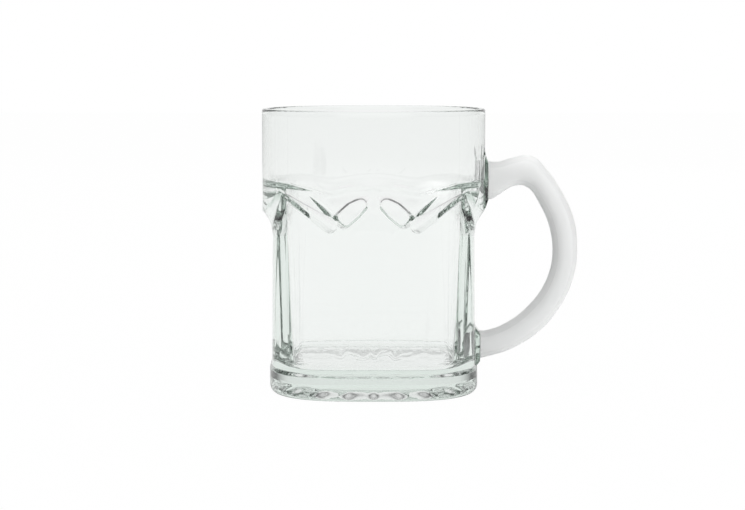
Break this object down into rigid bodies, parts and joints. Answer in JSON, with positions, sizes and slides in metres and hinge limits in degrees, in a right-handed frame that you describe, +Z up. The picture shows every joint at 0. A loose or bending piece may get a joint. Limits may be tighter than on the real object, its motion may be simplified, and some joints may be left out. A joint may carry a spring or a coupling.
{
  "type": "glass beer mug",
  "caption": "Small pressed glass beer mug: a round thin-walled mouth over a rounded square bowl with arched shoulders, and a frosted glass handle.",
  "frame": {"origin": "centre of the base on the bowl's axis, in the plane that the mug stands on", "axes": "+Z up along the bowl's axis, +X towards the handle, +Y across the mug"},
  "size_m": [0.1135, 0.08, 0.1],
  "materials": {
    "clear_glass": "polished",
    "frosted_glass": "satin"
  },
  "bodies": {
    "root": {"glass_body": "clear_glass", "handle": "frosted_glass"}
  },
  "joints": []
}
